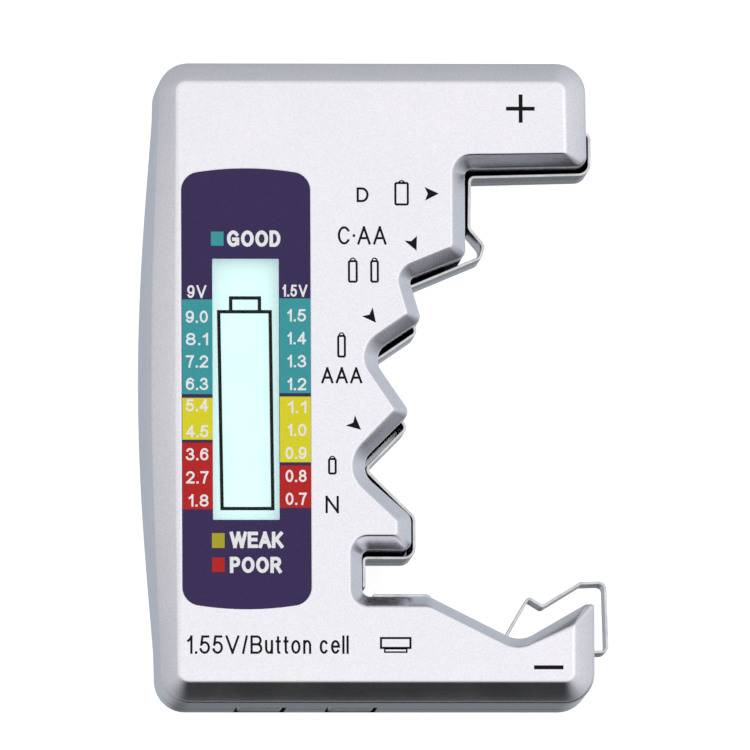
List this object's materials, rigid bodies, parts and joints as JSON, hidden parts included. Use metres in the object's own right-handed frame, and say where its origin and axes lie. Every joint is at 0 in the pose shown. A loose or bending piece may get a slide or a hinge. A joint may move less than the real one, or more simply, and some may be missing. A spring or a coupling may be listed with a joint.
{
  "type": "battery tester",
  "caption": "Hand-held battery tester: C-shaped silver case with stepped contact bays for round cells, a button-cell slot, snap terminals and a bar display.",
  "frame": {"origin": "middle of the footprint, on the surface that the back face rests on", "axes": "+X across the tester towards the battery bay, +Y from the lower arm to the upper arm, +Z out of the face"},
  "size_m": [0.0696, 0.095, 0.022],
  "materials": {
    "front_shell_paint": "ABS moulding sprayed with fine metallic silver paint, satin",
    "rear_shell_paint": "ABS moulding sprayed with fine metallic silver paint, satin",
    "printed_label": "printed polyester label, satin",
    "window_acrylic": "clear acrylic, polished",
    "lcd_glass": "display glass",
    "reflector_film": "pale reflective film",
    "frame_plastic": "moulded ABS",
    "silicone_rubber": "silicone with carbon layers",
    "board_laminate": "glass-epoxy laminate with green solder mask",
    "black_resin": "cast epoxy resin",
    "resistor_ceramic": "lacquered ceramic",
    "blue_lacquer": "lacquered ceramic",
    "capacitor_sleeve": "shrink sleeve on an aluminium can",
    "trimmer_plastic": "moulded thermoset",
    "nickel_strip": "nickel-plated spring steel, bright",
    "nickel_spring": "nickel-plated spring steel, bright",
    "nickel_contact": "nickel-plated steel, bright",
    "red_insulation": "PVC insulation",
    "black_insulation": "PVC insulation",
    "blank_label": "plain satin sticker",
    "screw_steel": "zinc-plated self-tapping screw"
  },
  "bodies": {
    "case": {"front_shell": "front_shell_paint", "rear_shell": "rear_shell_paint", "scale_label": "printed_label", "display_window": "window_acrylic", "lcd_front_glass": "lcd_glass", "lcd_rear_glass": "lcd_glass", "lcd_reflector": "reflector_film", "lcd_frame": "frame_plastic", "zebra_connector": "silicone_rubber", "circuit_board": "board_laminate", "chip_blob": "black_resin", "load_resistor_1v5": "resistor_ceramic", "load_resistor_9v": "resistor_ceramic", "divider_resistor": "blue_lacquer", "reverse_diode": "black_resin", "capacitor": "capacitor_sleeve", "trimmer": "trimmer_plastic", "positive_strip": "nickel_strip", "negative_strip": "nickel_strip", "contact_9v_left": "nickel_contact", "contact_9v_right": "nickel_contact", "lead_positive": "red_insulation", "lead_negative": "black_insulation", "lead_9v_left": "red_insulation", "lead_9v_right": "black_insulation", "rear_label": "blank_label", "case_screw_1": "screw_steel", "board_screw_1": "screw_steel", "case_screw_2": "screw_steel", "board_screw_2": "screw_steel", "case_screw_3": "screw_steel", "board_screw_3": "screw_steel", "case_screw_4": "screw_steel", "board_screw_4": "screw_steel"},
    "sprung_contact": {"negative_spring": "nickel_spring"}
  },
  "joints": [
    {"name": "contact_travel", "type": "slide", "parent": "case", "child": "sprung_contact", "axis": [0, -1, 0], "range_m": [0, 0.0025], "stiffness_N_per_m": 800}
  ]
}
